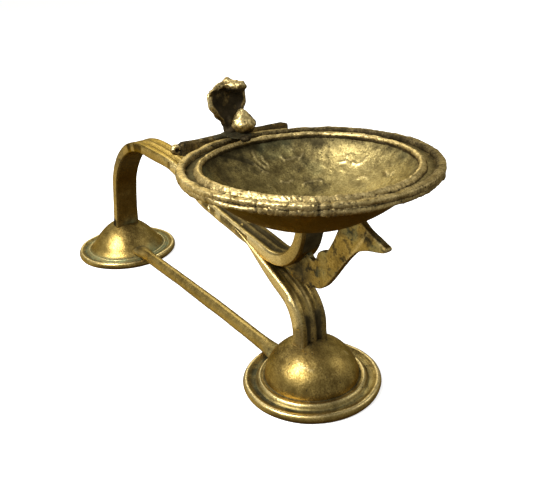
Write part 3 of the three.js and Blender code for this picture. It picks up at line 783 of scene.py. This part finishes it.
def bowl_patina_and_shade(point):
    x = point.x - bowl_x
    reach = math.hypot(x, point.y)
    if inside_bowl(point):
        # Painted shadow: the inside wall just under the lip is darkened.
        under_lip_shadow = blend_in(point.z, flange_top - 4.5, flange_top - 0.6)
        handle_side = blend_in(-x, 6, 30)
        sunk = 1.5 * bump_at(distance_to_line(x, point.y, flow_line), 0.42)
        floor_spot = bump_at(math.hypot(x + 11.5, point.y - 12.5), 3.4)
        blotch = blend_in(cloud(point, 6, 94) + 0.5 * cloud(point, 2.2, 95), 0.1, 0.6)
        return (0.5 * under_lip_shadow + 0.3 * handle_side + 0.8 * sunk + 0.45 * floor_spot
                + 0.3 * blotch + 0.08)
    if point.z > flange_top - 0.6:
        handle_side = 0.5 - 0.5 * math.cos(math.atan2(point.y, x) - 0.6)
        return 0.4 + 0.6 * handle_side + 0.2 * cloud(point, 3, 99)
    return 0.12 + 0.3 * blend_in(reach, 33, 38)


def bowl_wear_and_highlight(point):
    if not inside_bowl(point):
        return 0.0
    x = point.x - bowl_x
    folds = max(bump_at(distance_to_line(x, point.y, line), 0.35) for line, height in wax_folds)
    # Bright wear on the wax folds, and a faint painted highlight on the inside towards +y.
    return 0.4 * folds + 0.12 * blend_in(point.y, 8, 24)


waxed_brass = brass("waxed_brass", light=(0.50, 0.40, 0.15), middle=(0.27, 0.205, 0.068),
                    dark=(0.15, 0.11, 0.035), crust=(0.035, 0.028, 0.012), wear=0.3, pitting=0.6,
                    roughness=0.4, grain=0.85)
finished("oil_bowl", bowl_mesh, waxed_brass, ["bowl"], 83.1, 0.16, bowl_patina_and_shade,
         bowl_wear_and_highlight, lambda point: 0.2 * blend_in(cloud(point, 9, 97), 0.2, 0.6))

# ---- lip and rim bands ----
# The bowl's mouth has a raised lip, and two rounded bands lie one on the other round the flange's
# edge. All three were modelled as rolled wax threads: they are lumpy, pitted and cracked across,
# and handling has worn them to bright metal on the lamp's right.

rubbed_brass = brass("rubbed_brass", light=(0.78, 0.62, 0.28), middle=(0.46, 0.335, 0.12),
                     dark=(0.21, 0.145, 0.05), crust=(0.03, 0.022, 0.010), wear=0.4, pitting=1.2,
                     roughness=0.43, grain=1.0)

# Cracks across the bands: bearing from the bowl's middle in degrees, width and depth.
band_cracks = [(-126, 0.5, 0.2), (-112, 0.4, 0.25), (-74, 0.3, 0.5), (-58.3, 0.5, 0.9),
               (-46, 0.35, 0.6), (-35, 1.0, 0.9), (-30.5, 0.3, 0.3), (8, 0.3, 0.3),
               (33, 0.4, 0.3), (104, 0.4, 0.3)]


def crack_at(point):
    bearing = bearing_of(point) + 0.6 * cloud(point, 0.9, 77)
    return max(depth * bump_at(bearing - at, width) for at, width, depth in band_cracks)


def near_side(point):
    """1 on the side that hands have rubbed, 0 across from it."""
    return 0.5 + 0.5 * math.cos(math.radians(bearing_of(point) + 78))


def pitted(point, seed):
    """Small sharp pits and grains, thickest on the side that the flame's heat has worked most."""
    thick = 0.25 + 0.75 * bump_at(bearing_of(point) + 48, 42)
    return thick * (blend_in(cloud(point, 0.75, seed), 0.25, 0.5)
                    - 0.7 * blend_in(cloud(point, 0.9, seed + 3), 0.25, 0.5))


def above_seam(point):
    """Height above the line between the two bands, on the rim as it was pulled up."""
    return point.z - seam_z - rim_lift(point)


def slit_at(point, above):
    """The gap left open between the two bands, in short lengths on the lamp's right."""
    bearing = bearing_of(point) + 2.5 * cloud(point, 3, 55)
    open_part = bump_at(bearing + 68, 6.5) + 0.3 * bump_at(bearing + 12, 20)
    return open_part * bump_at(above - 0.12 * cloud(point, 2, 56), 0.26)


BAND_SIDES = 26
BAND_TURNS = 860


def rolled(low, high, bulge, seed, restless, lift):
    """A lumpy ring that fills a band of the rim, from its CAD box."""
    outer = (high.x - low.x) / 2
    inner = outer - 2.5
    middle = (outer + inner) / 2
    half = (outer - inner) / 2 + bulge
    tall = (high.z - low.z) / 2 + 0.35
    centre = (high.z + low.z) / 2 + lift
    turns = [math.tau * i / BAND_SIDES for i in range(BAND_SIDES + 1)]
    outline = [(middle - bulge + half * math.copysign(abs(math.cos(turn)) ** 0.6, math.cos(turn)),
                centre + tall * math.copysign(abs(math.sin(turn)) ** 0.6, math.sin(turn)))
               for turn in turns]
    bm = spun(outline, bowl_x, BAND_TURNS)
    bm.normal_update()
    for vert in bm.verts:
        lump = 0.26 * cloud(vert.co, 5, seed) + 0.14 * cloud(vert.co, 1.7, seed + 1)
        lump -= 0.22 * pitted(vert.co, seed + 2)
        carve = 0.5 * crack_at(vert.co) + 0.9 * slit_at(vert.co, vert.co.z - seam_z)
        vert.co += vert.normal * (restless * lump - carve)
    warp_rim(bm)
    return bm


band_low, band_high = span("rim_band_upper")
lower_low, lower_high = span("rim_band_lower")
seam_z = (band_low.z + lower_high.z) / 2 + 0.15


def band_patina(point):
    seam = 0.3 * bump_at(above_seam(point), 0.25) + 1.2 * slit_at(point, above_seam(point))
    reach = math.hypot(point.x - bowl_x, point.y)
    inside = 1 - blend_in(reach, 37.6, 38.6)
    back = 1 - near_side(point)
    pits = 0.8 * max(pitted(point, 103.2), 0)
    return (seam * blend_in(reach, 38.5, 39.5) + 0.8 * crack_at(point) + 0.4 * inside + pits
            + 0.5 * back)


def band_rub(point):
    worn = near_side(point) ** 2 * blend_in(cloud(point, 4, 79), -0.5, 0.4)
    return 0.75 * worn - 0.5 * slit_at(point, above_seam(point))


upper_band = rolled(band_low, band_high, bulge=0.12, seed=101.2, restless=1.0, lift=-0.1)
finished("upper_band", upper_band, rubbed_brass, ["rim_band_upper"], 72.1, 0.12,
         band_patina, band_rub)
lower_band = rolled(lower_low, lower_high, bulge=0.1, seed=107.8, restless=1.2, lift=0.4)
finished("lower_band", lower_band, rubbed_brass, ["rim_band_lower"], 73.6, 0.12,
         band_patina, lambda point: 0.7 * band_rub(point))

lip_outer = (lip_high.x - lip_low.x) / 2
lip_outline = [(lip_outer - 2.1, lip_low.z - 0.7), (lip_outer - 2.15, lip_low.z + 0.3),
               (lip_outer - 1.9, lip_high.z - 0.35), (lip_outer - 1.2, lip_high.z),
               (lip_outer - 0.5, lip_high.z - 0.3), (lip_outer + 0.1, lip_low.z + 0.2),
               (lip_outer + 0.3, lip_low.z - 0.5), (lip_outer - 1.0, lip_low.z - 0.7),
               (lip_outer - 2.1, lip_low.z - 0.7)]
lip = spun(flowing(lip_outline, 4), bowl_x, 720)
# Small beads of metal left on the lip: bearing in degrees, size and height.
lip_beads = [(13.8, 2.2, 0.5), (19.7, 1.2, 0.35), (38.9, 1.4, 0.4), (51.6, 2.6, 0.8),
             (-8, 1.6, 0.3), (88, 1.2, 0.3), (-140, 1.5, 0.3)]
lip.normal_update()
for vert in lip.verts:
    bead = sum(height * bump_at(bearing_of(vert.co) - at, size) for at, size, height in lip_beads)
    lump = 0.22 * cloud(vert.co, 4, 111) + 0.16 * cloud(vert.co, 1.5, 112)
    lump -= 0.26 * pitted(vert.co, 115)
    vert.co += vert.normal * lump
    vert.co.z += 0.4 * bead * blend_in(vert.co.z, lip_low.z + 0.4, lip_high.z)
warp_rim(lip)


def lip_patina(point):
    reach = math.hypot(point.x - bowl_x, point.y)
    low = 1 - blend_in(point.z, lip_low.z - 0.1, lip_low.z + 0.6)
    inner = 0.2 * (1 - blend_in(reach, lip_outer - 2.1, lip_outer - 1.7))
    pits = 0.8 * max(pitted(point, 115), 0)
    return 0.75 * low + inner + 0.3 * crack_at(point) + pits


def lip_rub(point):
    top = blend_in(point.z, lip_low.z + 0.5, lip_high.z - 0.2)
    worn = blend_in(cloud(point, 2, 114), -0.6, 0.3)
    return (0.6 - 0.25 * near_side(point)) * top * worn


finished("mouth_lip", lip, rubbed_brass, ["inner_lip"], 113.4, 0.1, lip_patina,
         lip_rub)

# ---- crest ----
# A ridged bar across the back of the rim, its end curled into a pellet, carries a thin tongue with
# a pit-eyed nodule at its front. On the tongue stand a cobra with its hood spread and a small
# pear-shaped linga. All were modelled in wax and cast; they are black but for their high places.

blackened_brass = brass("blackened_brass", light=(0.50, 0.38, 0.15), middle=(0.26, 0.18, 0.065),
                        dark=(0.10, 0.066, 0.026), crust=(0.02, 0.015, 0.008), wear=0.35,
                        pitting=0.7, roughness=0.38, grain=0.7)

bar_low, bar_high = span("cross_bar")
bar_middle = (bar_low + bar_high) / 2
BAR_STATIONS = 130
bar_line = []
for i in range(BAR_STATIONS):
    share = i / (BAR_STATIONS - 1)
    y = bar_low.y + share * (bar_high.y - bar_low.y)
    sag = 0.35 * cloud(Vector((0, y, 0)), 12, 120)
    lift = 0.4 + 0.9 * (1 - share)
    bar_line.append((Vector((bar_middle.x + sag * 0.6, y, bar_middle.z + (lift + sag) / 2)),
                     Vector((0, 0, 1)), Vector((-1, 0, 0))))


def bar_section(share):
    end = blend_in(min(share, 1 - share), 0.0, 0.04)
    return ridged((bar_high.z - bar_low.z + 0.4 + 0.9 * (1 - share)) * (0.8 + 0.2 * end),
                  (bar_high.x - bar_low.x + 0.7) * (0.8 + 0.2 * end), 0.5, 1)


finished("back_bar", swept(bar_line, BAR_SIDES, bar_section), blackened_brass,
         ["cross_bar"], 121.9, 0.3, lambda point: 0.55 + 0.3 * cloud(point, 5, 122),
         lambda point: 0.15 * blend_in(point.z, bar_high.z, bar_high.z + 0.8))


def ball_of(bm, place, size):
    """An egg of wax: its middle and its three widths."""
    made = bmesh.ops.create_icosphere(bm, subdivisions=3, radius=0.5)
    bmesh.ops.scale(bm, vec=size, verts=made["verts"])
    bmesh.ops.translate(bm, vec=place, verts=made["verts"])
    return made["verts"]


end_low, end_high = span("bar_end_pellet")
end_middle = (end_low + end_high) / 2 + Vector((0, 0, 1.1))
curl = bmesh.new()
CURL_LUMPS = 9
CURL_SHARE = 0.86  # how much of a full turn the curl goes round
CURL_RADIUS = 1.15
for i in range(CURL_LUMPS):
    turn = math.tau * i / CURL_LUMPS * CURL_SHARE + 0.5
    reach = Vector((0, math.cos(turn), math.sin(turn))) * CURL_RADIUS
    ball_of(curl, end_middle + reach + Vector((0.3, 0.5, 0)), (2.6, 1.5, 1.5))
ball_of(curl, end_middle + Vector((-0.4, 0.6, 0)), (1.6, 2.2, 2.2))


def curl_patina(point):
    eye = math.hypot(point.y - end_middle.y - 0.5, point.z - end_middle.z)
    return bump_at(eye, 0.75) + 0.2


finished("bar_end_curl", worked(curl, 0.16, 3), blackened_brass, ["bar_end_pellet"],
         125.2, 0.06, curl_patina, lambda point: 0.6 * blend_in(point.z, end_middle.z, end_high.z))

tab = worked(node_copy("seat_tab"), 0.2, 3)
tab_low, tab_high = span("seat_tab")
for vert in tab.verts:
    droop = blend_in(vert.co.x, tab_low.x + 5, tab_high.x)
    vert.co.z += 0.35 * cloud(vert.co, 4, 131) - 0.25 * droop
    vert.co.y += 0.4 * cloud(vert.co, 5, 133)
for across, size in ((-0.5, (6.6, 9.6, 2.2)), (-3.4, (4.2, 5.5, 2.8)), (-6.4, (3.4, 5, 2.0)),
                     (3.6, (3.6, 5, 1.8))):
    ball_of(tab, (tab_low.x + 2.2, across, tab_low.z + 0.3), size)
finished("crest_tongue", worked(tab, 0.2, 4), blackened_brass, ["seat_tab"], 134.6,
         0.16, lambda point: 1.0, nothing, lambda point: 0.1)

nodule_low, nodule_high = span("lip_pellet")
nodule_middle = (nodule_low + nodule_high) / 2
nodule = bmesh.new()
NODULE_LUMPS = 8
NODULE_RADIUS = 1.05
for i in range(NODULE_LUMPS):
    turn = math.tau * i / NODULE_LUMPS
    reach = Vector((math.cos(turn), math.sin(turn), 0)) * NODULE_RADIUS
    ball_of(nodule, nodule_middle + reach - Vector((0, 0, 0.9)), (1.7, 1.7, 1.9))
finished("nodule", worked(nodule, 0.15, 3), blackened_brass, ["lip_pellet"], 137.9,
         0.12, lambda point: 0.95)

# The cobra: a cupped hood on a narrow neck, its rim rolled forward, and a flat head on top that
# looks to the lamp's left, with a knob at its nape.

cobra_low, cobra_high = span("cobra")
cobra_y = -0.7
cobra_x = cobra_low.x + 3.7
COBRA_LEAN = 0.12
tall = cobra_high.z - cobra_low.z
HOOD_HALF_LEFT = 6.3
HOOD_HALF_RIGHT = 7.6
# (share of the height, share of the full half width)
hood_widths = [(0.0, 0.34), (0.12, 0.32), (0.24, 0.42), (0.42, 0.76), (0.62, 1.0), (0.82, 1.0),
               (0.93, 0.9), (1.0, 0.7)]


def hood_width(share, across):
    half = HOOD_HALF_RIGHT if across < 0 else HOOD_HALF_LEFT
    for (low, narrow), (high, wide) in zip(hood_widths, hood_widths[1:]):
        if share <= high:
            return half * (narrow + (wide - narrow) * blend_in(share, low, high))
    return half * hood_widths[-1][1]


def on_hood(across, share):
    """A place on the hood: across from -1 on the right to 1 on the left, share of its height."""
    cup = blend_in(share, 0.2, 0.5)
    forward = cup * (2.0 * across ** 2 - 0.9) + 1.2 * blend_in(share, 0.85, 1.0)
    height = cobra_low.z + share * (tall - 1.8) * (1 - 0.06 * across ** 2 * share)
    return Vector((cobra_x - COBRA_LEAN * share * tall + forward,
                   cobra_y + across * hood_width(share, across), height))


HOOD_THICKNESS = 1.2
cobra = bmesh.new()
bmesh.ops.create_grid(cobra, x_segments=40, y_segments=56, size=1)
for vert in cobra.verts:
    vert.co = on_hood(vert.co.x, (vert.co.y + 1) / 2)
bmesh.ops.recalc_face_normals(cobra, faces=cobra.faces)
bmesh.ops.solidify(cobra, geom=cobra.faces[:], thickness=HOOD_THICKNESS)
HOOD_RIM_BALLS = 34
for i in range(HOOD_RIM_BALLS):
    share = 0.08 + 0.88 * i / (HOOD_RIM_BALLS - 1)
    for across, full in ((-0.97, 1.55), (0.97, 1.6)):
        size = full * (0.75 + 0.25 * blend_in(share, 0.2, 0.5))
        ball_of(cobra, on_hood(across, share), (size, size, size))
for i in range(HOOD_RIM_BALLS):
    across = 1.9 * i / (HOOD_RIM_BALLS - 1) - 0.95
    ball_of(cobra, on_hood(across, 0.97 + 0.03 * (1 - across ** 2)), (1.6, 1.6, 1.6))
ball_of(cobra, (cobra_x + 0.2, cobra_y, cobra_low.z + 0.6), (4.6, 5.6, 3.4))
ball_of(cobra, (cobra_x - 0.2, cobra_y, cobra_low.z + 3.2), (3.4, 4.4, 6.0))
HEAD_TURN = 0.66
head_place = Vector((cobra_x + 0.2, cobra_y + 2.1, cobra_high.z - 2.9))
head_way = Vector((math.cos(HEAD_TURN), math.sin(HEAD_TURN), 0))
for reach, size in ((-1.3, 4.4), (0.5, 4.6), (2.4, 4.2)):
    place = head_place + head_way * reach
    ball_of(cobra, place, (size, size, size * 0.9))
ball_of(cobra, (cobra_x - 1.9, cobra_y + 1.0, cobra_high.z - 1.3), (2.8, 3.3, 2.7))
ball_of(cobra, (cobra_x - 0.9, cobra_y + 1.6, cobra_high.z - 2.0), (3.0, 3.0, 2.6))


def on_cobra(point):
    """Share of the cobra's height, and how far out on the hood: 1 at its edge."""
    share = (point.z - cobra_low.z) / tall
    return share, abs(point.y - cobra_y) / hood_width(share, point.y - cobra_y)


def cobra_patina(point):
    share, edge = on_cobra(point)
    face = (1 - blend_in(edge, 0.8, 1.0)) * (1 - blend_in(share, 0.8, 0.88))
    low = 1 - blend_in(share, 0.1, 0.4)
    blotch = 0.35 * blend_in(cloud(point, 3, 144), 0, 0.5)
    return max((1.05 - blotch) * face, low, 0.3)


def cobra_rub(point):
    share, edge = on_cobra(point)
    rim = blend_in(edge, 0.9, 1.04) * blend_in(share, 0.35, 0.6) * blend_in(cobra_y - point.y, 0, 3)
    crown = blend_in(share, 0.82, 0.92)
    return max(0.9 * rim, 0.75 * crown * blend_in(cloud(point, 1.6, 141), -0.4, 0.3))


figure = worked(cobra, 0.22, 3)
figure.normal_update()
for vert in figure.verts:
    crown = blend_in(vert.co.z, cobra_high.z - 6, cobra_high.z - 4)
    vert.co += vert.normal * crown * 0.3 * cloud(vert.co, 1.1, 147)
finished("cobra_figure", figure, blackened_brass, ["cobra"], 142.7,
         0.22, cobra_patina, cobra_rub)

linga_low, linga_high = span("linga")
linga_x = (linga_low.x + linga_high.x) / 2
linga_y = (linga_low.y + linga_high.y) / 2
swell = (linga_high.x - linga_low.x) / 2
pear = [(0, linga_low.z - 0.4), (swell * 0.7, linga_low.z - 0.3), (swell, linga_low.z + 1.8),
        (swell * 0.92, linga_low.z + 3.6), (swell * 0.55, linga_low.z + 5.9),
        (swell * 0.22, linga_high.z - 0.2), (0, linga_high.z + 0.1)]
linga = spun(flowing(pear, 8), linga_x, 96)
linga.normal_update()
for vert in linga.verts:
    vert.co += vert.normal * (0.26 * cloud(vert.co, 1.8, 155) + 0.14 * cloud(vert.co, 0.8, 156))
    vert.co.y += linga_y - 0.25 * blend_in(vert.co.z, linga_low.z + 3, linga_high.z)


def linga_patina(point):
    foot_dark = 1 - blend_in(point.z, linga_low.z, linga_low.z + 1.6)
    left = blend_in(point.y - linga_y, 0, 3)
    blotch = blend_in(cloud(point, 1.4, 158), 0, 0.5)
    return 0.75 * foot_dark + 0.5 * left + 0.5 * blotch


finished("linga_stone", linga, rubbed_brass, ["linga"], 151.3, 0.3, linga_patina,
         lambda point: 0.4 * blend_in(point.z, linga_low.z + 1, linga_low.z + 4))

# ---- floor, light and camera ----
# The lamp stands on a white floor in a dim room. A strong soft light stands high on the viewer's
# left, a weak one on the right, and a middling one behind the lamp.

low, high = cad_bounds
AIM_HEIGHT = 0.045
target = Vector(((low[0] + high[0]) / 2, 0, AIM_HEIGHT))

floor_mesh = bmesh.new()
bmesh.ops.create_grid(floor_mesh, x_segments=2, y_segments=2, size=6)
floor_data = bpy.data.meshes.new("floor")
floor_mesh.to_mesh(floor_data)
floor_mesh.free()
floor = in_scene("floor", floor_data)
# The floor glows a little, so that it is white right up to its far edge, and the brass doesn't
# mirror it.
paper = bpy.data.materials.new("paper")
paper.use_nodes = True
sheet = paper.node_tree.nodes["Principled BSDF"].inputs
sheet["Base Color"].default_value = (0.9, 0.9, 0.9, 1)
sheet["Roughness"].default_value = 0.9
sheet["Emission Color"].default_value = (1, 1, 1, 1)
sheet["Emission Strength"].default_value = 0.68
floor_data.materials.append(paper)
floor.visible_glossy = False

# The room is dim, darker and browner towards the floor, with a pale card low on the far left.
CARD_DIRECTION = (-0.757, -0.516, -0.4)
room = bpy.data.worlds.new("room")
room.use_nodes = True
room.cycles.sampling_method = "NONE"
sky = room.node_tree.nodes
wire = room.node_tree.links.new
toward = sky.new("ShaderNodeTexCoord").outputs["Generated"]
height = sky.new("ShaderNodeSeparateXYZ")
wire(toward, height.inputs["Vector"])
card = sky.new("ShaderNodeVectorMath")
card.operation = "DOT_PRODUCT"
card.inputs[1].default_value = CARD_DIRECTION
wire(toward, card.inputs[0])


def blended(value, start, end, curve, colour):
    """A mix that takes on this colour, as its second one, where the value goes from start to end."""
    share = sky.new("ShaderNodeMapRange")
    share.interpolation_type = curve
    share.inputs["From Min"].default_value = start
    share.inputs["From Max"].default_value = end
    wire(value, share.inputs["Value"])
    mix = sky.new("ShaderNodeMix")
    mix.data_type = "RGBA"
    mix.inputs[7].default_value = (*colour, 1)
    wire(share.outputs["Result"], mix.inputs["Factor"])
    return mix


walls = blended(height.outputs["Z"], -0.7, 0.0, "LINEAR", (0.34, 0.34, 0.32))
walls.inputs[6].default_value = (0.12, 0.085, 0.04, 1)
lit = blended(card.outputs["Value"], 0.72, 1.0, "SMOOTHSTEP", (0.95, 0.88, 0.68))
wire(walls.outputs[2], lit.inputs[6])
wire(lit.outputs[2], sky["Background"].inputs["Color"])
bpy.context.scene.world = room
bpy.context.scene.view_settings.view_transform = "Standard"

EYE = Vector((0.22585, -0.12519, 0.1419))
HEADING = 2.54374
DIP = 0.41192
ROLL = -0.05278
FOCAL_LENGTH = 47.28

ahead = Vector((math.cos(HEADING) * math.cos(DIP), math.sin(HEADING) * math.cos(DIP),
                -math.sin(DIP)))
level = Vector((math.sin(HEADING), -math.cos(HEADING), 0))
upright = level.cross(ahead)
right = math.cos(ROLL) * level + math.sin(ROLL) * upright
above = math.cos(ROLL) * upright - math.sin(ROLL) * level
camera_data = bpy.data.cameras.new("camera")
camera_data.lens = FOCAL_LENGTH
camera_data.sensor_width = 36
camera_data.clip_start = 0.01
camera = in_scene("camera", camera_data)
camera.matrix_world = Matrix((
    (right.x, above.x, -ahead.x, EYE.x),
    (right.y, above.y, -ahead.y, EYE.y),
    (right.z, above.z, -ahead.z, EYE.z),
    (0, 0, 0, 1)))
bpy.context.scene.camera = camera


def soft_light(name, sideways, toward, height, size, watts):
    """A square soft light, placed by how far it is to the viewer's right, towards the viewer and
    above the lamp, and aimed at it."""
    facing = Vector((-ahead.x, -ahead.y, 0)).normalized()
    place = target + level * sideways + facing * toward + Vector((0, 0, height))
    data = bpy.data.lights.new(name, "AREA")
    data.size = size
    data.energy = watts
    light = in_scene(name, data)
    light.matrix_world = Matrix.Translation(place) @ (target - place).to_track_quat(
        "-Z", "Y").to_matrix().to_4x4()


soft_light("window", sideways=-0.38, toward=0.3, height=0.5, size=0.32, watts=8)
soft_light("fill", sideways=0.75, toward=0.0, height=0.4, size=0.4, watts=0.8)
soft_light("back_fill", sideways=-0.15, toward=-0.7, height=0.6, size=0.5, watts=2.5)
